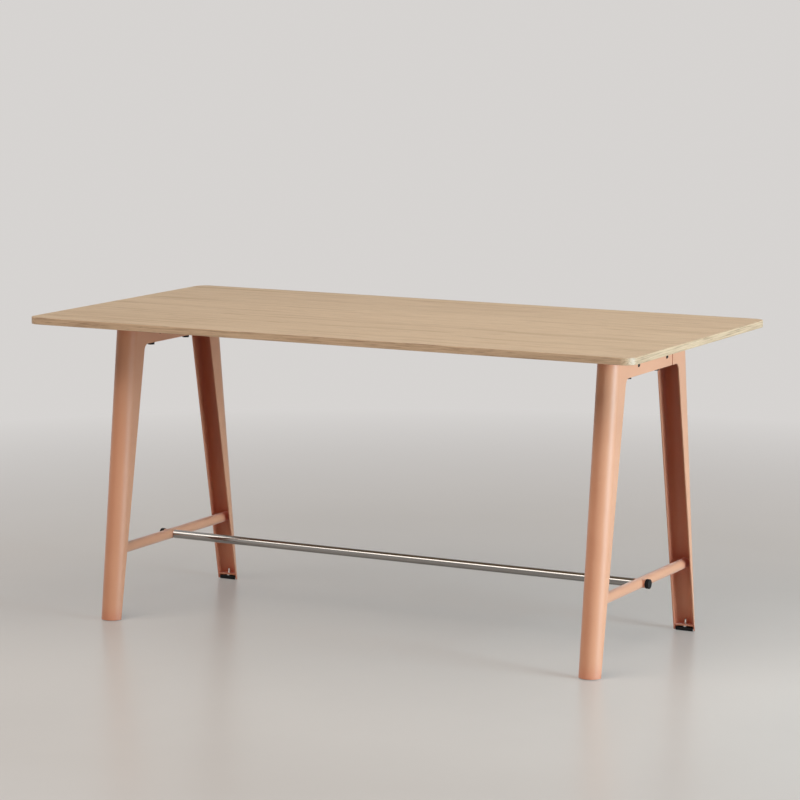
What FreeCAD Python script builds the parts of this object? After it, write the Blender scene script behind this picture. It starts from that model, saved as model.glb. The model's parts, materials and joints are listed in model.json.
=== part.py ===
import FreeCAD, Part
import math
import os

Vector = FreeCAD.Vector

# Driving dimensions, in millimetres: table top
top_length = 1900.0
top_width = 950.0
top_height = 900.0
top_thickness = 20.0
top_corner_radius = 35.0
veneer_thickness = 0.6
band_thickness = 2.0
edge_rounding = 1.2

# End frames: two legs of bent sheet, joined by their own long arms
end_overhang = 146.0
leg_half_width = 33.0
sheet_thickness = 3.0
leg_floor_gap = 2.0
foot_nose_y = 355.0
head_nose_y = 247.0
foot_flange_y = 326.0
head_flange_y = 165.0
beam_depth = 80.0
beam_fillet = 20.0
seam_y = 136.5
seam_gap = 4.0

# Folded channel inside each beam, and its side screws
channel_length = 400.0
channel_height = 50.0
channel_wall = 3.0
side_screw_y = 97.0
side_screw_drop = 52.0
side_screw_diameter = 6.0
side_screw_length = 16.0
side_screw_head_diameter = 12.0
side_screw_head_height = 3.3
side_screw_socket = 4.0
side_screw_socket_depth = 2.0
weld_nut_across_flats = 10.0
weld_nut_height = 5.0

# Long bolts that pull each beam up against the top
top_bolt_y = 96.0
top_bolt_diameter = 8.0
top_bolt_head_diameter = 20.0
top_bolt_head_height = 10.0
top_bolt_socket = 6.0
top_bolt_socket_depth = 4.5
top_bolt_washer_diameter = 22.0
top_bolt_washer_thickness = 2.0
top_bolt_grip = 10.0
insert_diameter = 11.0
insert_length = 13.0

# Foot rest: one tube across each frame and a bar between them
footrest_height = 201.0
cross_tube_diameter = 30.0
cross_tube_wall = 2.0
bar_diameter = 25.0
bar_wall = 1.5
plug_length = 40.0
boss_diameter = 24.0
boss_stand_out = 5.0
knob_screw_diameter = 8.0
knob_screw_reach = 24.0
knob_diameter = 27.0
knob_height = 11.0
knob_flutes = 12
knob_flute_diameter = 4.0
knob_edge_rounding = 1.0
knob_washer_thickness = 1.0
knob_washer_diameter = 20.0

# Levelling feet
foot_plate_height = 15.0
foot_plate_thickness = 4.0
foot_plate_setback = 1.5
stud_diameter = 8.0
stud_rise = 14.0
collar_across_flats = 13.0
collar_height = 5.0
stud_tail = 5.0
pad_wall_gap = 3.0
pad_edge_rounding = 1.5

# Clearances and the overrun that serves all cuts
running_clearance = 0.06
fit_clearance = 0.1
screw_hole_clearance = 0.25
overrun = 5.0

# Shares of other sizes
rounding_wall_share = 0.9
hex_corner_share = 1.0 / math.cos(math.pi / 6.0)

# Levels and places that follow from the driving dimensions
underside_z = top_height - top_thickness
beam_bottom_z = underside_z - beam_depth
side_screw_z = underside_z - side_screw_drop
leg_lean = math.atan2(foot_nose_y - head_nose_y, underside_z)
leg_inner_radius = leg_half_width - sheet_thickness
channel_half_width = leg_inner_radius - fit_clearance
channel_inner_half_width = channel_half_width - channel_wall
cross_tube_radius = cross_tube_diameter / 2.0
frame_centre_x = top_length / 2.0 - end_overhang - leg_half_width
pad_height = foot_plate_height - collar_height
pad_radius = leg_inner_radius - pad_wall_gap
stud_top_z = foot_plate_height + foot_plate_thickness + stud_rise
SIDES = (("left", -1), ("right", 1))
ENDS = (("front", -1), ("rear", 1))


def box(x0, x1, y0, y1, z0, z1):
    return Part.makeBox(x1 - x0, y1 - y0, z1 - z0, Vector(x0, y0, z0))


def rod(diameter, length, start, direction):
    return Part.makeCylinder(diameter / 2.0, length, start, direction)


def hexagon(across_flats, height, start, direction):
    corner = across_flats / 2.0 * hex_corner_share
    points = []
    for step in range(7):
        angle = math.radians(60.0 * step)
        points.append(Vector(corner * math.cos(angle), corner * math.sin(angle), 0))
    prism = Part.Face(Part.makePolygon(points)).extrude(Vector(0, 0, height))
    turn = FreeCAD.Rotation(Vector(0, 0, 1), direction)
    prism.Placement = FreeCAD.Placement(start, turn)
    return prism


def rounded_plate(length, width, radius, z0, thickness):
    half_x = length / 2.0
    half_y = width / 2.0
    diagonal = radius * math.sqrt(0.5)
    edges = []
    corners = ((1, 1), (-1, 1), (-1, -1), (1, -1))
    starts = []
    for sx, sy in corners:
        centre = Vector(sx * (half_x - radius), sy * (half_y - radius), z0)
        on_x = centre + Vector(sx * radius, 0, 0)
        on_y = centre + Vector(0, sy * radius, 0)
        middle = centre + Vector(sx * diagonal, sy * diagonal, 0)
        first, last = (on_x, on_y) if sx == sy else (on_y, on_x)
        edges.append(Part.Arc(first, middle, last).toShape())
        starts.append((first, last))
    for index, (first, last) in enumerate(starts):
        following = starts[(index + 1) % len(starts)][0]
        edges.append(Part.LineSegment(last, following).toShape())
    outline = Part.Wire(Part.__sortEdges__(edges))
    return Part.Face(outline).extrude(Vector(0, 0, thickness))


def turned_end_for_end(shape):
    copy = shape.copy()
    copy.rotate(Vector(0, 0, 0), Vector(0, 0, 1), 180.0)
    return copy


def moved(shape, x, y, z):
    copy = shape.copy()
    copy.translate(Vector(x, y, z))
    return copy


# Table top
def top_bolt_places():
    return [(sx * frame_centre_x, sy * top_bolt_y) for _, sx in SIDES for _, sy in ENDS]


def insert_holes():
    hole = insert_diameter + 2.0 * fit_clearance
    depth = insert_length + overrun
    start_z = underside_z - overrun
    return [rod(hole, depth, Vector(x, y, start_z), Vector(0, 0, 1)) for x, y in top_bolt_places()]


def inner_plate(z0, thickness):
    return rounded_plate(top_length - 2.0 * band_thickness, top_width - 2.0 * band_thickness,
                         top_corner_radius - band_thickness, z0, thickness)


def top_core():
    core = inner_plate(underside_z + veneer_thickness, top_thickness - 2.0 * veneer_thickness)
    return core.cut(insert_holes())


def top_veneer():
    return inner_plate(top_height - veneer_thickness, veneer_thickness)


def bottom_veneer():
    return inner_plate(underside_z, veneer_thickness).cut(insert_holes())


def edge_band():
    block = rounded_plate(top_length, top_width, top_corner_radius, underside_z, top_thickness)
    rims = [edge for edge in block.Edges if edge.BoundBox.ZLength < fit_clearance]
    rounding = min(edge_rounding, band_thickness * rounding_wall_share)
    block = block.makeFillet(rounding, rims)
    return block.cut(inner_plate(underside_z - overrun, top_thickness + 2.0 * overrun))


def top_inserts():
    bore = top_bolt_diameter + 2.0 * fit_clearance
    pieces = []
    for x, y in top_bolt_places():
        start = Vector(x, y, underside_z)
        body = rod(insert_diameter, insert_length, start, Vector(0, 0, 1))
        pieces.append(body.cut(rod(bore, insert_length, start, Vector(0, 0, 1))))
    return Part.makeCompound(pieces)


# Legs
def flange_y_at(z):
    return foot_flange_y - (foot_flange_y - head_flange_y) * z / underside_z


def leg_prism(radius):
    along = Vector(0, math.sin(leg_lean), math.cos(leg_lean))
    inward = Vector(0, math.cos(leg_lean), -math.sin(leg_lean))
    reach = 2.0 * foot_nose_y
    centre = Vector(0, -foot_nose_y, 0) + inward * leg_half_width - along * reach
    side = Vector(radius, 0, 0)
    far = inward * reach
    nose = Part.Arc(centre - side, centre - inward * radius, centre + side).toShape()
    edges = [nose, Part.LineSegment(centre + side, centre + side + far).toShape(),
             Part.LineSegment(centre + side + far, centre - side + far).toShape(),
             Part.LineSegment(centre - side + far, centre - side).toShape()]
    return Part.Face(Part.Wire(edges)).extrude(along * (underside_z + 2.0 * reach))


def side_outline(arm_end_y, x0, x1):
    foot = Vector(x0, -flange_y_at(leg_floor_gap), leg_floor_gap)
    corner = Vector(x0, -flange_y_at(beam_bottom_z), beam_bottom_z)
    tip = Vector(x0, arm_end_y, beam_bottom_z)
    tip_top = Vector(x0, arm_end_y, underside_z)
    out_top = Vector(x0, -2.0 * foot_nose_y, underside_z)
    out_foot = Vector(x0, -2.0 * foot_nose_y, leg_floor_gap)
    down = (foot - corner).normalize()
    half_angle = down.getAngle(tip - corner) / 2.0
    tangent = beam_fillet / math.tan(half_angle)
    inner = (tip - corner).normalize()
    bisector = (down + inner).normalize()
    arc_start = corner + down * tangent
    arc_middle = corner + bisector * (beam_fillet / math.sin(half_angle) - beam_fillet)
    arc_end = corner + inner * tangent
    edges = [Part.LineSegment(foot, arc_start).toShape(),
             Part.Arc(arc_start, arc_middle, arc_end).toShape()]
    corners = [arc_end, tip, tip_top, out_top, out_foot, foot]
    for start, end in zip(corners, corners[1:]):
        edges.append(Part.LineSegment(start, end).toShape())
    return Part.Face(Part.Wire(edges)).extrude(Vector(x1 - x0, 0, 0))


def front_leg():
    shell = leg_prism(leg_half_width).cut(leg_prism(leg_inner_radius))
    reach = leg_half_width + overrun
    arm_side = shell.common(side_outline(seam_y - seam_gap / 2.0, 0, reach))
    ear_side = shell.common(side_outline(-seam_y - seam_gap / 2.0, -reach, 0))
    leg = arm_side.fuse(ear_side).removeSplitter()
    hole = side_screw_diameter + 2.0 * screw_hole_clearance
    for _, sy in ENDS:
        start = Vector(0, sy * side_screw_y, side_screw_z)
        leg = leg.cut(rod(hole, reach, start, Vector(1, 0, 0)))
    return leg


# Beam channel and its fasteners
def beam_channel():
    half_length = channel_length / 2.0
    top_z = beam_bottom_z + channel_height
    block = box(-channel_half_width, channel_half_width, -half_length, half_length,
                beam_bottom_z, top_z)
    hollow = box(-channel_inner_half_width, channel_inner_half_width, -half_length - overrun,
                 half_length + overrun, beam_bottom_z + channel_wall, top_z + overrun)
    channel = block.cut(hollow)
    bolt_hole = top_bolt_diameter + 2.0 * screw_hole_clearance
    screw_hole = side_screw_diameter + 2.0 * screw_hole_clearance
    for _, sy in ENDS:
        below = Vector(0, sy * top_bolt_y, beam_bottom_z - overrun)
        channel = channel.cut(rod(bolt_hole, channel_wall + 2.0 * overrun, below, Vector(0, 0, 1)))
        beside = Vector(-leg_half_width, sy * side_screw_y, side_screw_z)
        channel = channel.cut(rod(screw_hole, 2.0 * leg_half_width, beside, Vector(1, 0, 0)))
    return channel


def side_screw(sx, sy):
    seat = Vector(sx * leg_half_width, sy * side_screw_y, side_screw_z)
    out = Vector(sx, 0, 0)
    shank = rod(side_screw_diameter, side_screw_length, seat, out * -1.0)
    head_radius = side_screw_head_diameter / 2.0
    height = side_screw_head_height
    dome_radius = (head_radius ** 2 + height ** 2) / (2.0 * height)
    ball = Part.makeSphere(dome_radius, seat - out * (dome_radius - height))
    head = rod(side_screw_head_diameter, height, seat, out).common(ball)
    socket_start = seat + out * (height - side_screw_socket_depth)
    socket = hexagon(side_screw_socket, side_screw_socket_depth + overrun, socket_start, out)
    return head.fuse(shank).removeSplitter().cut(socket)


def weld_nut(sx, sy):
    seat = Vector(sx * channel_inner_half_width, sy * side_screw_y, side_screw_z)
    inward = Vector(-sx, 0, 0)
    bore = side_screw_diameter + 2.0 * fit_clearance
    nut = hexagon(weld_nut_across_flats, weld_nut_height, seat, inward)
    return nut.cut(rod(bore, weld_nut_height, seat, inward))


def on_both_frames(make_piece):
    pieces = []
    for _, side in SIDES:
        for _, sx in SIDES:
            for _, sy in ENDS:
                pieces.append(moved(make_piece(sx, sy), side * frame_centre_x, 0, 0))
    return Part.makeCompound(pieces)


def top_bolts():
    head_z = beam_bottom_z - top_bolt_washer_thickness
    pieces = []
    for x, y in top_bolt_places():
        seat = Vector(x, y, head_z)
        shank = rod(top_bolt_diameter, underside_z + top_bolt_grip - head_z, seat, Vector(0, 0, 1))
        head = rod(top_bolt_head_diameter, top_bolt_head_height, seat, Vector(0, 0, -1))
        mouth = seat - Vector(0, 0, top_bolt_head_height - top_bolt_socket_depth)
        socket = hexagon(top_bolt_socket, top_bolt_socket_depth + overrun, mouth, Vector(0, 0, -1))
        pieces.append(shank.fuse(head).removeSplitter().cut(socket))
    return Part.makeCompound(pieces)


def top_bolt_washers():
    bore = top_bolt_diameter + 2.0 * screw_hole_clearance
    pieces = []
    for x, y in top_bolt_places():
        seat = Vector(x, y, beam_bottom_z)
        disc = rod(top_bolt_washer_diameter, top_bolt_washer_thickness, seat, Vector(0, 0, -1))
        pieces.append(disc.cut(rod(bore, top_bolt_washer_thickness, seat, Vector(0, 0, -1))))
    return Part.makeCompound(pieces)


# Foot rest
def boss_rod(diameter):
    start = Vector(-cross_tube_radius, 0, footrest_height)
    return rod(diameter, cross_tube_diameter + boss_stand_out, start, Vector(1, 0, 0))


def cross_tube():
    start = Vector(0, -foot_nose_y, footrest_height)
    length = 2.0 * foot_nose_y
    tube = rod(cross_tube_diameter, length, start, Vector(0, 1, 0))
    bore = rod(cross_tube_diameter - 2.0 * cross_tube_wall, length, start, Vector(0, 1, 0))
    inside = leg_prism(leg_inner_radius - fit_clearance)
    tube = tube.cut(bore).common(inside).common(turned_end_for_end(inside))
    return tube.cut(boss_rod(boss_diameter + 2.0 * fit_clearance))


def knob_screw_bore():
    return knob_screw_diameter + 2.0 * running_clearance


def bar_boss():
    return boss_rod(boss_diameter).cut(boss_rod(knob_screw_bore()))


def at_bar_end(side, shape):
    return shape if side > 0 else turned_end_for_end(shape)


def bar_half_length():
    return frame_centre_x - cross_tube_radius


def footrest_bar():
    start = Vector(-bar_half_length(), 0, footrest_height)
    length = 2.0 * bar_half_length()
    tube = rod(bar_diameter, length, start, Vector(1, 0, 0))
    return tube.cut(rod(bar_diameter - 2.0 * bar_wall, length, start, Vector(1, 0, 0)))


def bar_plug():
    start = Vector(bar_half_length() - plug_length, 0, footrest_height)
    diameter = bar_diameter - 2.0 * bar_wall - 2.0 * fit_clearance
    plug = rod(diameter, plug_length, start, Vector(1, 0, 0))
    return plug.cut(rod(knob_screw_bore(), plug_length, start, Vector(1, 0, 0)))


def boss_face_x():
    return frame_centre_x + cross_tube_radius + boss_stand_out


def knob_washer():
    start = Vector(boss_face_x(), 0, footrest_height)
    disc = rod(knob_washer_diameter, knob_washer_thickness, start, Vector(1, 0, 0))
    return disc.cut(rod(knob_screw_bore(), knob_washer_thickness, start, Vector(1, 0, 0)))


def clamp_knob():
    out = Vector(1, 0, 0)
    seat = Vector(boss_face_x() + knob_washer_thickness, 0, footrest_height)
    head = rod(knob_diameter, knob_height, seat, out)
    head = head.makeFillet(knob_edge_rounding, [edge for edge in head.Edges if edge.Closed])
    for step in range(knob_flutes):
        angle = 2.0 * math.pi * step / knob_flutes
        radius = knob_diameter / 2.0 + knob_flute_diameter / 2.0 - knob_edge_rounding
        place = seat + Vector(0, radius * math.cos(angle), radius * math.sin(angle))
        flute_start = place - out * overrun
        head = head.cut(rod(knob_flute_diameter, knob_height + 2.0 * overrun, flute_start, out))
    screw_length = boss_stand_out + cross_tube_diameter + knob_washer_thickness + knob_screw_reach
    return head.fuse(rod(knob_screw_diameter, screw_length, seat, out * -1.0)).removeSplitter()


# Levelling feet, made for the front leg
def pad_axis_y():
    drop = pad_height * math.tan(leg_lean)
    return foot_nose_y - drop - leg_half_width / math.cos(leg_lean)


def pad_flat_y():
    return flange_y_at(pad_height) + foot_plate_setback


def stud_start(z):
    stud_y = (pad_axis_y() + pad_radius + pad_flat_y()) / 2.0
    return Vector(0, -stud_y, z)


def foot_plate():
    reach = leg_half_width + overrun
    edge_y = -flange_y_at(foot_plate_height) - foot_plate_setback
    slab = box(-reach, reach, -foot_nose_y - overrun, edge_y, foot_plate_height,
               foot_plate_height + foot_plate_thickness)
    plate = slab.common(leg_prism(leg_inner_radius - fit_clearance))
    hole = stud_diameter + 2.0 * running_clearance
    return plate.cut(rod(hole, foot_plate_thickness, stud_start(foot_plate_height), Vector(0, 0, 1)))


def levelling_stud():
    tail_z = pad_height - stud_tail
    shank = rod(stud_diameter, stud_top_z - tail_z, stud_start(tail_z), Vector(0, 0, 1))
    collar = hexagon(collar_across_flats, collar_height, stud_start(pad_height), Vector(0, 0, 1))
    return shank.fuse(collar).removeSplitter()


def foot_pad():
    centre = Vector(0, -pad_axis_y(), 0)
    body = rod(2.0 * pad_radius, pad_height, centre, Vector(0, 0, 1))
    behind = box(-pad_radius, pad_radius, -pad_axis_y() - pad_radius, -pad_flat_y(), 0, pad_height)
    body = body.common(behind)
    rims = [edge for edge in body.Edges if edge.BoundBox.ZLength < fit_clearance]
    body = body.makeFillet(pad_edge_rounding, rims)
    socket = stud_diameter + 2.0 * running_clearance
    start = stud_start(pad_height - stud_tail)
    return body.cut(rod(socket, stud_tail + overrun, start, Vector(0, 0, 1)))


def at_corner(shape, side, end):
    placed = shape if end < 0 else turned_end_for_end(shape)
    return moved(placed, side * frame_centre_x, 0, 0)


def build():
    nodes = {
        "top_core": top_core(),
        "top_veneer": top_veneer(),
        "bottom_veneer": bottom_veneer(),
        "edge_band": edge_band(),
        "top_inserts": top_inserts(),
        "side_screws": on_both_frames(side_screw),
        "weld_nuts": on_both_frames(weld_nut),
        "top_bolts": top_bolts(),
        "top_bolt_washers": top_bolt_washers(),
        "footrest_bar": footrest_bar(),
    }
    corner_pieces = {
        "leg": front_leg(),
        "foot_plate": foot_plate(),
        "levelling_stud": levelling_stud(),
        "foot_pad": foot_pad(),
    }
    frame_pieces = {
        "beam_channel": beam_channel(),
        "cross_tube": cross_tube(),
    }
    bar_end_pieces = {
        "bar_boss": moved(bar_boss(), frame_centre_x, 0, 0),
        "bar_plug": bar_plug(),
        "knob_washer": knob_washer(),
        "clamp_knob": clamp_knob(),
    }
    for side_name, side in SIDES:
        for name, shape in frame_pieces.items():
            nodes[name + "_" + side_name] = moved(shape, side * frame_centre_x, 0, 0)
        for name, shape in bar_end_pieces.items():
            nodes[name + "_" + side_name] = at_bar_end(side, shape)
        for end_name, end in ENDS:
            for name, shape in corner_pieces.items():
                nodes[name + "_" + side_name + "_" + end_name] = at_corner(shape, side, end)
    return nodes


os.makedirs("parts", exist_ok=True)
for node_name, node_shape in build().items():
    node_shape.exportStep("parts/" + node_name + ".step")
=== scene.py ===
import json
import math

import bpy
from mathutils import Matrix, Vector


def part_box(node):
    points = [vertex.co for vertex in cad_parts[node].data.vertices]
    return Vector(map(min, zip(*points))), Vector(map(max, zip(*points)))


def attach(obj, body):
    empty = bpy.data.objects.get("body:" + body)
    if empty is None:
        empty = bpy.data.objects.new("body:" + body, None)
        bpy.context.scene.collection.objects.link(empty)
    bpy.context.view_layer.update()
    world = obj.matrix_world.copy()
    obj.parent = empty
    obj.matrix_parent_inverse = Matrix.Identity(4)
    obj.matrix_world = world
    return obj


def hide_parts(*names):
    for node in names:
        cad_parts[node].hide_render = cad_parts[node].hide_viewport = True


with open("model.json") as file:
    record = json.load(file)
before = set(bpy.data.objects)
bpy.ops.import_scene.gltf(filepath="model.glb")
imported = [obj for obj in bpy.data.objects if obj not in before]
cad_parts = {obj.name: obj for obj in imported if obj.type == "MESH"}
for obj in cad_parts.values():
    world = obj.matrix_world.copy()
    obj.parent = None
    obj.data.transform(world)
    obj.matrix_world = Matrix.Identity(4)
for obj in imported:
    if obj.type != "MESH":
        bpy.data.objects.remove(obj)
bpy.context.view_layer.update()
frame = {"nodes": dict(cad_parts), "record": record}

# Camera, in metres, radians and millimetres of lens: fitted to the photograph, then eased a little
CAMERA_PLACE = Vector((4.101, -7.639, 1.955))
CAMERA_YAW = 0.4912
CAMERA_PITCH = 0.148
CAMERA_LENS = 136.9
CAMERA_REACH = 200.0
SENSOR_WIDTH = 36.0

# Light: a low cool lamp at the right, two wide warm ones above, and a weak even sky
KEY_PLACE = Vector((4.8, -0.4, 1.1))
KEY_TARGET = Vector((0.77, 0.0, 0.35))
KEY_SIZE = (1.8, 1.8)
KEY_POWER = 36.0
KEY_BEAM = math.radians(75.0)
OVERHEAD_PLACE = Vector((1.6, 0.2, 4.6))
OVERHEAD_SIZE = (4.4, 4.4)
OVERHEAD_POWER = 99.0
FILL_PLACE = Vector((-1.3, -4.3, 5.4))
FILL_SIZE = (8.6, 4.0)
FILL_POWER = 268.0
WIDE_TARGET = Vector((0.0, 0.0, 0.45))
WIDE_BEAM = math.radians(180.0)
DAYLIGHT = (0.76, 1.05, 1.2)
LAMPLIGHT = (1.0, 0.93, 0.86)
SKY_COLOUR = (1.0, 0.985, 0.965, 1.0)
SKY_STRENGTH = 0.045

# Studs: lengths in metres, radius, tail and collar as in the solids, thread and chamfers added here
STUD_RADIUS = 0.004
STUD_TAIL = 0.005
STUD_STEPS = 48
THREAD_PITCH = 0.00125
THREAD_DEPTH = 0.0007
THREAD_ROWS = 8
COLLAR_FLATS = 0.013
COLLAR_HEIGHT = 0.005
COLLAR_CHAMFER = 0.0005
HEXAGON_SECTOR = math.radians(60.0)

# Cross tubes and legs: lengths in metres, as in the solids
CROSS_TUBE_RADIUS = 0.015
FOOTREST_HEIGHT = 0.201
LEG_HALF_WIDTH = 0.033
LEG_INNER_RADIUS = 0.030
FOOT_NOSE_Y = 0.355
HEAD_NOSE_Y = 0.247
UNDERSIDE_Z = 0.880
LEG_LEAN = math.atan2(FOOT_NOSE_Y - HEAD_NOSE_Y, UNDERSIDE_Z)

# Weld beads: radius in metres, rings along and points around, ripples
BEAD_RADIUS = 0.0018
BEAD_STEPS = 120
BEAD_AROUND = 10
BEAD_RIPPLES = 30
BEAD_RIPPLE_SHARE = 0.12

# Oak: repeats per metre along and across the grain, where each pattern starts, and how strong it is
TOP_LINES = (1.1, 34.0)
RIM_LINES = (7.0, 330.0)
SWAY_REPEATS = (1.4, 6.0)
SWAY_STRENGTH = 3.0
FIBRE_REPEATS = (9.0, 460.0)
FIBRE_SHARE = 0.42
FIBRE_HEIGHT = 0.5
FLECK_REPEATS = (12.0, 170.0)
FLECK_START = (3.1, 1.7, 0.4)
FLECK_SHARE = 0.55
FLECK_SHADE = 0.62
TONE_REPEATS = (0.7, 3.0)
TONE_START = (1.3, 4.2, 0.0)
TONE_SHADE = (0.93, 0.92, 0.905, 1.0)
TOP_GLOSS = 0.32
RIM_GLOSS = 1.0

# Core board: repeats per metre
CHIP_REPEATS = (260.0, 260.0, 260.0)

# Paint: painted shade in hollows and near other parts, how far off, in metres, a neighbour still darkens
# its colour
PAINTED_SHADE_REACH = 0.08
PAINTED_SHADE_SAMPLES = 8

# Stainless: repeats per metre along and across the tube
SCRATCH_REPEATS = (6.0, 1800.0, 1800.0)
DRAWN_REPEATS = (0.6, 210.0, 210.0)

# Floor: lengths in metres, looks, the painted glow near the table, and how it passes into the background
FLOOR_HALF = 60.0
FLOOR_COLOUR = (0.595, 0.556, 0.522, 1.0)
FLOOR_SHADE = 0.94
FLOOR_ROUGHNESS = 0.28
FLOOR_GLOSS = 0.4
FLOOR_NEAR = 1.7
FLOOR_FAR = 4.2
# Painted glow: the share of background colour the floor shows even right beside the table, which
# lightens its shadow
NEAR_PAINTED_GLOW = 0.2
FAR_COLOUR = (0.675, 0.655, 0.64, 1.0)

# Node graphs: the span of most noise values, plain values, and socket numbers of a mix node
NOISE_LOW = 0.3
NOISE_HIGH = 0.7
NO_SHIFT = (0.0, 0.0, 0.0)
NO_STRETCH = (1.0, 1.0, 1.0)
WHITE = (1.0, 1.0, 1.0, 1.0)
MIX_SHARE = 0
MIX_VECTORS = (4, 5)
MIX_VECTOR_OUT = 1
MIX_COLOURS = (6, 7)
MIX_COLOUR_OUT = 2


def linear(red, green, blue):
    """A colour given in the usual 0 to 255 steps, as linear light by the standard screen curve."""
    steps = []
    for value in (red, green, blue):
        share = value / 255.0
        steps.append(share / 12.92 if share <= 0.04045 else ((share + 0.055) / 1.055) ** 2.4)
    return (*steps, 1.0)


def darker(colour, share):
    return tuple(value * share for value in colour[:3]) + (1.0,)


# Small helpers for node graphs
class Graph:
    def __init__(self, name):
        self.material = bpy.data.materials.new(name)
        self.material.use_nodes = True
        self.tree = self.material.node_tree
        self.shader = self.tree.nodes["Principled BSDF"]

    def node(self, kind, **settings):
        made = self.tree.nodes.new(kind)
        for key, value in settings.items():
            setattr(made, key, value)
        return made

    def link(self, source, target):
        self.tree.links.new(source, target)

    def feed(self, socket, value):
        """A fixed value is set on the socket, and the output of another node is linked to it."""
        if isinstance(value, (int, float, tuple)):
            socket.default_value = value
        else:
            self.link(value, socket)

    def place(self, scale, offset=NO_SHIFT, source=None):
        mapping = self.node("ShaderNodeMapping")
        mapping.inputs["Scale"].default_value = scale
        mapping.inputs["Location"].default_value = offset
        if source is None:
            source = self.node("ShaderNodeTexCoord").outputs["Object"]
        self.link(source, mapping.inputs["Vector"])
        return mapping.outputs["Vector"]

    def along_the_rim(self):
        """Places with X and Y exchanged on faces that look along X, so X always follows the rim."""
        where = self.node("ShaderNodeTexCoord")
        parts = self.node("ShaderNodeSeparateXYZ")
        self.link(where.outputs["Object"], parts.inputs[0])
        turned = self.node("ShaderNodeCombineXYZ")
        for source, target in ((1, 0), (0, 1), (2, 2)):
            self.link(parts.outputs[source], turned.inputs[target])
        facing = self.node("ShaderNodeSeparateXYZ")
        self.link(where.outputs["Normal"], facing.inputs[0])
        sideways = self.math("ABSOLUTE", facing.outputs[0], 0.0)
        halfway = math.sqrt(0.5)
        chosen = self.node("ShaderNodeMix", data_type="VECTOR")
        first, second = MIX_VECTORS
        self.link(self.math("GREATER_THAN", sideways, halfway), chosen.inputs[MIX_SHARE])
        self.link(where.outputs["Object"], chosen.inputs[first])
        self.link(turned.outputs[0], chosen.inputs[second])
        return chosen.outputs[MIX_VECTOR_OUT]

    def noise(self, vector, scale=1.0, detail=2.0, roughness=0.5):
        made = self.node("ShaderNodeTexNoise")
        made.inputs["Scale"].default_value = scale
        made.inputs["Detail"].default_value = detail
        made.inputs["Roughness"].default_value = roughness
        self.link(vector, made.inputs["Vector"])
        return made.outputs["Fac"]

    def even_noise(self, scale, detail, roughness=0.5):
        """Noise that is not stretched, with its repeats per metre as the scale."""
        return self.noise(self.place(NO_STRETCH), scale, detail, roughness)

    def math(self, operation, first, second):
        made = self.node("ShaderNodeMath", operation=operation)
        for socket, value in zip(made.inputs, (first, second)):
            self.feed(socket, value)
        return made.outputs[0]

    def remap(self, value, low, high, to_low=0.0, to_high=1.0):
        made = self.node("ShaderNodeMapRange")
        made.inputs["From Min"].default_value = low
        made.inputs["From Max"].default_value = high
        made.inputs["To Min"].default_value = to_low
        made.inputs["To Max"].default_value = to_high
        self.link(value, made.inputs["Value"])
        return made.outputs["Result"]

    def share(self, value, above, full, most=1.0):
        """A share that starts where the value is above one limit and is at its most at the other."""
        return self.remap(value, above, full, 0.0, most)

    def ramp(self, value, stops):
        made = self.node("ShaderNodeValToRGB")
        line = made.color_ramp.elements
        while len(line) < len(stops):
            line.new(0.5)
        for element, (position, colour) in zip(line, stops):
            element.position = position
            element.color = colour
        self.link(value, made.inputs["Fac"])
        return made.outputs["Color"]

    def tones(self, noise, first, second):
        """A colour that goes from the first to the second over the span of most noise values."""
        return self.ramp(noise, ((NOISE_LOW, first), (NOISE_HIGH, second)))

    def mix(self, share, first, second, blend="MIX"):
        made = self.node("ShaderNodeMix", data_type="RGBA", blend_type=blend)
        for number, value in zip((MIX_SHARE, *MIX_COLOURS), (share, first, second)):
            self.feed(made.inputs[number], value)
        return made.outputs[MIX_COLOUR_OUT]

    def openness(self, reach, samples):
        """How much of the space around a spot is open, from 0 deep in a hollow to 1 in the clear."""
        made = self.node("ShaderNodeAmbientOcclusion", samples=samples)
        made.inputs["Distance"].default_value = reach
        return made.outputs["AO"]

    def bump(self, height, strength, distance):
        made = self.node("ShaderNodeBump")
        made.inputs["Strength"].default_value = strength
        made.inputs["Distance"].default_value = distance
        self.link(height, made.inputs["Height"])
        self.link(made.outputs["Normal"], self.shader.inputs["Normal"])

    def colour(self, socket):
        self.link(socket, self.shader.inputs["Base Color"])

    def roughness(self, noise, smooth, rough):
        spread = self.remap(noise, NOISE_LOW, NOISE_HIGH, smooth, rough)
        self.link(spread, self.shader.inputs["Roughness"])

    def fixed(self, name, value):
        self.shader.inputs[name].default_value = value


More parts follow.
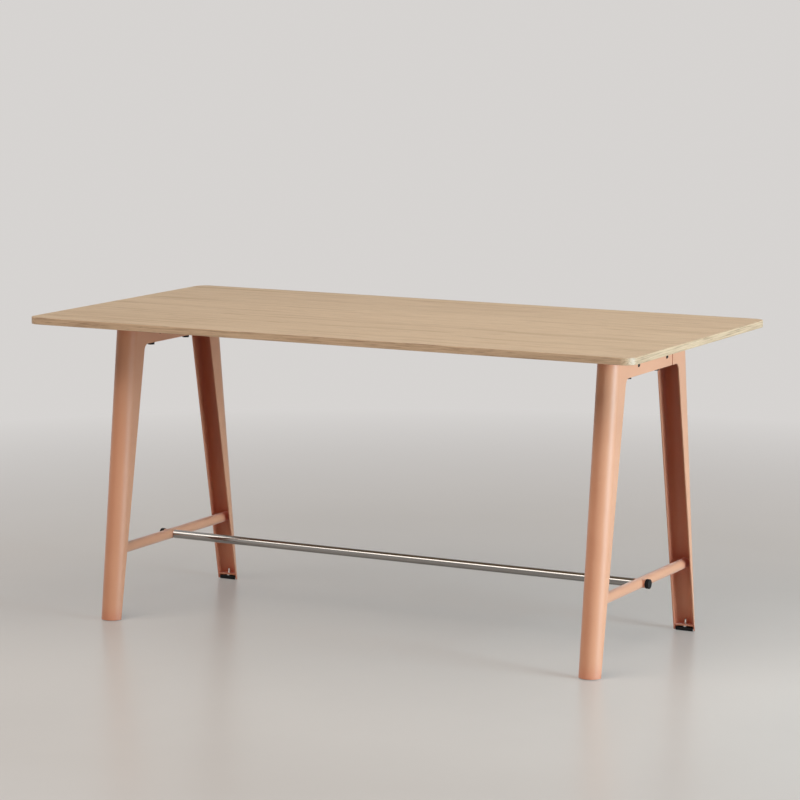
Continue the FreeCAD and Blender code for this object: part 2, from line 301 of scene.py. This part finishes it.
def oak(name, light, dark, line_repeats, gloss, on_rim=False):
    """Oak veneer: growth lines along the grain, fine pores and slow changes of tone."""
    graph = Graph(name)
    source = graph.along_the_rim() if on_rim else None

    def stretched(repeats, start=NO_SHIFT):
        along, across = repeats
        return graph.place((along, across, across), start, source)

    sway = graph.noise(stretched(SWAY_REPEATS))
    shifted = graph.node("ShaderNodeVectorMath", operation="ADD")
    graph.link(stretched(line_repeats), shifted.inputs[0])
    graph.link(graph.math("MULTIPLY", sway, SWAY_STRENGTH), shifted.inputs[1])
    lines = graph.noise(shifted.outputs[0], detail=6.0, roughness=0.66)
    fibres = graph.noise(stretched(FIBRE_REPEATS), detail=3.0, roughness=0.6)
    flecks = graph.noise(stretched(FLECK_REPEATS, FLECK_START), detail=3.0, roughness=0.7)
    tone = graph.noise(stretched(TONE_REPEATS, TONE_START))
    base = graph.ramp(lines, ((0.32, dark), (0.5, light), (0.74, light)))
    streaked = graph.mix(graph.share(fibres, above=0.38, full=0.72, most=FIBRE_SHARE), base, dark)
    fleck_share = graph.share(flecks, above=0.56, full=0.74, most=FLECK_SHARE)
    flecked = graph.mix(fleck_share, streaked, darker(dark, FLECK_SHADE))
    graph.colour(graph.mix(1.0, flecked, graph.tones(tone, TONE_SHADE, WHITE), "MULTIPLY"))
    graph.roughness(fibres, smooth=0.46, rough=0.62)
    raised = graph.math("MULTIPLY", fibres, FIBRE_HEIGHT)
    graph.bump(graph.math("SUBTRACT", raised, fleck_share), strength=0.22, distance=0.0004)
    graph.fixed("Specular IOR Level", gloss)
    return graph.material


def core_board():
    """Pressed wood chips."""
    graph = Graph("core_board")
    chips = graph.noise(graph.place(CHIP_REPEATS), detail=3.0)
    graph.colour(graph.ramp(chips, ((0.35, linear(150, 118, 80)), (0.6, linear(196, 164, 122)))))
    graph.roughness(chips, smooth=0.7, rough=0.9)
    graph.bump(chips, strength=0.3, distance=0.0006)
    return graph.material


def coral_paint():
    """Powder coat: a fine orange-peel skin, slow changes of tone and gloss, and painted shade that turns
    it deep red in hollows and close to other parts.
    """
    graph = Graph("coral_paint")
    speck_colour = linear(203, 126, 92)
    painted_shade_colour = linear(192, 88, 58)
    peel = graph.even_noise(scale=900.0, detail=2.0, roughness=0.55)
    cloud = graph.even_noise(scale=7.0, detail=2.0)
    speck = graph.even_noise(scale=2600.0, detail=1.0)
    base = graph.tones(cloud, linear(213, 148, 112), linear(219, 155, 119))
    flecked = graph.mix(graph.share(speck, above=0.35, full=0.7, most=0.22), base, speck_colour)
    # Painted shade: where other parts close in around a spot, the colour goes over to a deep red that
    # stands in for shade, as in the legs' channels and under the top
    openness = graph.openness(PAINTED_SHADE_REACH, PAINTED_SHADE_SAMPLES)
    graph.colour(graph.mix(graph.share(openness, above=0.15, full=0.85), painted_shade_colour, flecked))
    graph.roughness(peel, smooth=0.44, rough=0.56)
    graph.bump(peel, strength=0.16, distance=0.0004)
    graph.fixed("Specular IOR Level", 0.4)
    graph.fixed("Coat Weight", 0.4)
    graph.fixed("Coat Roughness", 0.5)
    graph.fixed("Sheen Weight", 0.35)
    graph.fixed("Sheen Roughness", 0.5)
    return graph.material


def stainless():
    """Drawn tube: fine scratches and broader drawing lines along its length."""
    graph = Graph("stainless")
    scratch_colour = linear(104, 102, 100)
    scratches = graph.noise(graph.place(SCRATCH_REPEATS), detail=3.0, roughness=0.65)
    lines = graph.noise(graph.place(DRAWN_REPEATS), detail=2.0, roughness=0.6)
    tone = graph.ramp(lines, ((0.34, linear(140, 137, 134)), (0.66, linear(184, 181, 177))))
    graph.colour(graph.mix(graph.share(scratches, above=0.4, full=0.7, most=0.24), tone, scratch_colour))
    graph.roughness(scratches, smooth=0.08, rough=0.17)
    graph.bump(scratches, strength=0.08, distance=0.0002)
    graph.fixed("Metallic", 1.0)
    return graph.material


def plated(name, dull, bright, smooth, rough):
    """Plated metal with a mottled tone."""
    graph = Graph(name)
    mottle = graph.even_noise(scale=220.0, detail=4.0, roughness=0.6)
    graph.colour(graph.tones(mottle, dull, bright))
    graph.roughness(mottle, smooth, rough)
    graph.bump(mottle, strength=0.08, distance=0.0002)
    graph.fixed("Metallic", 1.0)
    return graph.material


def black_steel():
    """Blackened steel with a fine mottle."""
    graph = Graph("black_steel")
    mottle = graph.even_noise(scale=400.0, detail=3.0)
    graph.colour(graph.tones(mottle, linear(9, 9, 10), linear(17, 16, 16)))
    graph.roughness(mottle, smooth=0.42, rough=0.56)
    graph.bump(mottle, strength=0.1, distance=0.0002)
    graph.fixed("Specular IOR Level", 0.2)
    return graph.material


def black_plastic():
    """Moulded plastic with a fine spark-eroded grain."""
    graph = Graph("black_plastic")
    grain = graph.even_noise(scale=1400.0, detail=2.0)
    wear = graph.even_noise(scale=60.0, detail=3.0)
    graph.colour(graph.ramp(wear, ((0.3, linear(9, 9, 10)), (0.75, linear(20, 19, 19)))))
    graph.roughness(grain, smooth=0.45, rough=0.62)
    graph.bump(grain, strength=0.25, distance=0.0003)
    graph.fixed("Specular IOR Level", 0.22)
    return graph.material


def oak_top():
    return oak("oak", linear(208, 184, 155), linear(180, 152, 120), TOP_LINES, TOP_GLOSS)


def oak_rim():
    light = linear(213, 181, 147)
    dark = linear(140, 103, 71)
    return oak("oak_edge", light, dark, RIM_LINES, RIM_GLOSS, on_rim=True)


def zinc():
    return plated("zinc", linear(214, 212, 208), linear(240, 239, 236), smooth=0.16, rough=0.28)


def brass():
    return plated("brass", linear(176, 142, 78), linear(206, 172, 104), smooth=0.25, rough=0.4)


def materials_by_slot():
    return {
        "oak": oak_top(),
        "core_board": core_board(),
        "coral_paint": coral_paint(),
        "stainless": stainless(),
        "zinc": zinc(),
        "brass": brass(),
        "black_steel": black_steel(),
        "black_plastic": black_plastic(),
    }


def dress_nodes(materials):
    rim = oak_rim()
    slots = {row["node"]: row["material_slot"] for row in frame["record"]["subparts"]}
    for node, piece in frame["nodes"].items():
        piece.data.materials.clear()
        piece.data.materials.append(rim if node == "edge_band" else materials[slots[node]])


# Pieces made here: threaded studs and weld beads
def new_piece(name, points, faces, material, body):
    mesh = bpy.data.meshes.new(name)
    mesh.from_pydata(points, [], faces)
    mesh.validate()
    mesh.update()
    piece = bpy.data.objects.new(name, mesh)
    bpy.context.scene.collection.objects.link(piece)
    mesh.materials.append(material)
    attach(piece, body)
    return piece


def ring_faces(rings, around, closed_loop):
    """Quads between rings that follow each other, and end caps unless the last ring meets the first."""
    faces = []
    last = rings if closed_loop else rings - 1
    for ring in range(last):
        start = ring * around
        following = (ring + 1) % rings * around
        for step in range(around):
            beside = (step + 1) % around
            faces.append((start + step, start + beside, following + beside, following + step))
    if not closed_loop:
        faces.append(tuple(range(around - 1, -1, -1)))
        faces.append(tuple((rings - 1) * around + step for step in range(around)))
    return faces


def hexagon_radius(angle):
    off_flat = (angle % HEXAGON_SECTOR) - HEXAGON_SECTOR / 2.0
    return COLLAR_FLATS / 2.0 / math.cos(off_flat)


def thread_radius(angle, height, top):
    """A vee thread that runs out into a chamfer at the end of the stud."""
    turn = (height / THREAD_PITCH - angle / (2.0 * math.pi)) % 1.0
    depth = THREAD_DEPTH * abs(2.0 * turn - 1.0)
    return min(STUD_RADIUS - depth, STUD_RADIUS - THREAD_DEPTH + (top - height))


def stud_rings(bottom, top):
    """Heights from the bottom up, each with a function that gives the radius at an angle."""
    collar_low = bottom + STUD_TAIL
    collar_high = collar_low + COLLAR_HEIGHT
    flat = COLLAR_FLATS / 2.0
    corner = flat / math.cos(HEXAGON_SECTOR / 2.0)
    rings = [(bottom, lambda angle: STUD_RADIUS - COLLAR_CHAMFER),
             (bottom + COLLAR_CHAMFER, lambda angle: STUD_RADIUS),
             (collar_low, lambda angle: STUD_RADIUS)]
    for height, limit in ((collar_low, flat), (collar_low + COLLAR_CHAMFER, corner),
                          (collar_high - COLLAR_CHAMFER, corner), (collar_high, flat)):
        rings.append((height, lambda angle, limit=limit: min(hexagon_radius(angle), limit)))
    rows = int((top - collar_high) / THREAD_PITCH * THREAD_ROWS)
    for row in range(rows + 1):
        height = collar_high + (top - collar_high) * row / rows
        rings.append((height, lambda angle, height=height: thread_radius(angle, height, top)))
    return rings


def make_stud(corner, material):
    """A threaded stud with its hexagon collar, in place of a plain one."""
    node = "levelling_stud_" + corner
    low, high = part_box(node)
    centre = Vector(((low[0] + high[0]) / 2.0, (low[1] + high[1]) / 2.0, 0.0))
    rings = stud_rings(low[2], high[2])
    points = []
    for height, radius_at in rings:
        for step in range(STUD_STEPS):
            angle = 2.0 * math.pi * step / STUD_STEPS
            radius = radius_at(angle)
            points.append(centre + Vector((radius * math.cos(angle), radius * math.sin(angle), height)))
    faces = ring_faces(len(rings), STUD_STEPS, closed_loop=False)
    piece = new_piece("threaded_stud_" + corner, points, faces, material, "stud_" + corner)
    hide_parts(node)


def bead_centre(angle, frame_x, end):
    """A point of the line where the cross tube's outside meets the inside of the leg's round nose."""
    x = CROSS_TUBE_RADIUS * math.cos(angle)
    z = FOOTREST_HEIGHT + CROSS_TUBE_RADIUS * math.sin(angle)
    inside = LEG_HALF_WIDTH - math.sqrt(LEG_INNER_RADIUS ** 2 - x ** 2)
    y = FOOT_NOSE_Y - (inside + z * math.sin(LEG_LEAN)) / math.cos(LEG_LEAN)
    return Vector((frame_x + x, end * y, z))


def bead_points(frame_x, end):
    """Rings round the line of one bead, with ripples along it."""
    points = []
    along = Vector((0.0, -end, 0.0))
    for step in range(BEAD_STEPS):
        angle = 2.0 * math.pi * step / BEAD_STEPS
        out = Vector((math.cos(angle), 0.0, math.sin(angle)))
        swell = 1.0 + BEAD_RIPPLE_SHARE * math.sin(BEAD_RIPPLES * angle)
        middle = bead_centre(angle, frame_x, end)
        for around in range(BEAD_AROUND):
            turn = 2.0 * math.pi * around / BEAD_AROUND
            spoke = out * math.cos(turn) + along * math.sin(turn)
            points.append(middle + spoke * BEAD_RADIUS * swell)
    return points


def make_beads(side, material):
    """Two rippled beads, one at each end of a cross tube."""
    low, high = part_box("cross_tube_" + side)
    frame_x = (low[0] + high[0]) / 2.0
    points = []
    faces = []
    for end in (-1.0, 1.0):
        shift = len(points)
        points.extend(bead_points(frame_x, end))
        for face in ring_faces(BEAD_STEPS, BEAD_AROUND, closed_loop=True):
            outward = face if end < 0.0 else reversed(face)
            faces.append(tuple(index + shift for index in outward))
    piece = new_piece("weld_beads_" + side, points, faces, material, "frame")
    for face in piece.data.polygons:
        face.use_smooth = True


# Stage
def seen_share(tree):
    """One for rays that show the background itself or its mirror image, none for those that light."""
    path = tree.nodes.new("ShaderNodeLightPath")
    seen = path.outputs["Is Camera Ray"]
    for name in ("Is Glossy Ray", "Is Transmission Ray"):
        larger = tree.nodes.new("ShaderNodeMath")
        larger.operation = "MAXIMUM"
        tree.links.new(seen, larger.inputs[0])
        tree.links.new(path.outputs[name], larger.inputs[1])
        seen = larger.outputs[0]
    return seen


def blend_shaders(tree, share, first, second):
    blend = tree.nodes.new("ShaderNodeMixShader")
    for socket, source in zip(blend.inputs, (share, first, second)):
        tree.links.new(source, socket)
    return blend.outputs[0]


def floor_material():
    """A pale satin floor that fades into the background far away and is clear when seen from below; near
    the table a share of painted glow in the background colour lightens its shadow.
    """
    graph = Graph("floor")
    cloud = graph.even_noise(scale=1.1, detail=5.0, roughness=0.6)
    graph.colour(graph.tones(cloud, darker(FLOOR_COLOUR, FLOOR_SHADE), FLOOR_COLOUR))
    graph.fixed("Roughness", FLOOR_ROUGHNESS)
    graph.fixed("Specular IOR Level", FLOOR_GLOSS)
    where = graph.node("ShaderNodeTexCoord")
    off_centre = graph.node("ShaderNodeVectorMath", operation="LENGTH")
    graph.link(where.outputs["Object"], off_centre.inputs[0])
    # Painted light: even close to the table a share of the floor shows the glow of the background colour
    # to the camera and in reflections, which lightens the shadow under the table
    far_share = graph.remap(off_centre.outputs["Value"], FLOOR_NEAR, FLOOR_FAR, NEAR_PAINTED_GLOW)
    glow = graph.node("ShaderNodeEmission")
    glow.inputs["Color"].default_value = FAR_COLOUR
    glow_share = graph.math("MULTIPLY", far_share, seen_share(graph.tree))
    faded = blend_shaders(graph.tree, glow_share, graph.shader.outputs[0], glow.outputs[0])
    below = graph.node("ShaderNodeNewGeometry").outputs["Backfacing"]
    clear = graph.node("ShaderNodeBsdfTransparent").outputs[0]
    shown = blend_shaders(graph.tree, below, faded, clear)
    graph.link(shown, graph.tree.nodes["Material Output"].inputs["Surface"])
    return graph.material


def make_floor():
    mesh = bpy.data.meshes.new("floor")
    half = FLOOR_HALF
    corners = [(-half, -half, 0.0), (half, -half, 0.0), (half, half, 0.0), (-half, half, 0.0)]
    mesh.from_pydata(corners, [], [(0, 1, 2, 3)])
    floor = bpy.data.objects.new("floor", mesh)
    bpy.context.scene.collection.objects.link(floor)
    mesh.materials.append(floor_material())


def make_lamp(name, place, target, size, power, tint, beam):
    lamp = bpy.data.lights.new(name, "AREA")
    lamp.shape = "ELLIPSE"
    lamp.size, lamp.size_y = size
    lamp.energy = power
    lamp.color = tint
    lamp.spread = beam
    holder = bpy.data.objects.new(name, lamp)
    holder.location = place
    holder.rotation_euler = (target - place).to_track_quat("-Z", "Y").to_euler()
    holder.visible_camera = False
    bpy.context.scene.collection.objects.link(holder)


def make_sky():
    """A weak even light, and the plain background that the camera and reflections see instead."""
    world = bpy.data.worlds.new("sky")
    bpy.context.scene.world = world
    world.use_nodes = True
    tree = world.node_tree
    lighting = tree.nodes["Background"]
    lighting.inputs["Color"].default_value = SKY_COLOUR
    lighting.inputs["Strength"].default_value = SKY_STRENGTH
    backdrop = tree.nodes.new("ShaderNodeBackground")
    backdrop.inputs["Color"].default_value = FAR_COLOUR
    shown = blend_shaders(tree, seen_share(tree), lighting.outputs[0], backdrop.outputs[0])
    tree.links.new(shown, tree.nodes["World Output"].inputs["Surface"])


def make_camera():
    lens = bpy.data.cameras.new("camera")
    lens.lens = CAMERA_LENS
    lens.sensor_width = SENSOR_WIDTH
    lens.clip_end = CAMERA_REACH
    camera = bpy.data.objects.new("camera", lens)
    level = math.cos(CAMERA_PITCH)
    right = Vector((math.cos(CAMERA_YAW), math.sin(CAMERA_YAW), 0.0))
    ahead = Vector((-math.sin(CAMERA_YAW) * level,
                    math.cos(CAMERA_YAW) * level,
                    -math.sin(CAMERA_PITCH)))
    upward = right.cross(ahead)
    turn = Matrix((right, upward, -ahead)).transposed()
    camera.matrix_world = Matrix.Translation(CAMERA_PLACE) @ turn.to_4x4()
    bpy.context.scene.collection.objects.link(camera)
    bpy.context.scene.camera = camera


bpy.context.scene.view_settings.view_transform = "Standard"
materials = materials_by_slot()
dress_nodes(materials)
for side_name in ("left", "right"):
    make_beads(side_name, materials["coral_paint"])
    for end_name in ("front", "rear"):
        make_stud(side_name + "_" + end_name, materials["zinc"])
make_floor()
make_lamp("key", KEY_PLACE, KEY_TARGET, KEY_SIZE, KEY_POWER, DAYLIGHT, KEY_BEAM)
make_lamp("overhead", OVERHEAD_PLACE, WIDE_TARGET, OVERHEAD_SIZE, OVERHEAD_POWER, LAMPLIGHT, WIDE_BEAM)
make_lamp("fill", FILL_PLACE, WIDE_TARGET, FILL_SIZE, FILL_POWER, LAMPLIGHT, WIDE_BEAM)
make_sky()
make_camera()
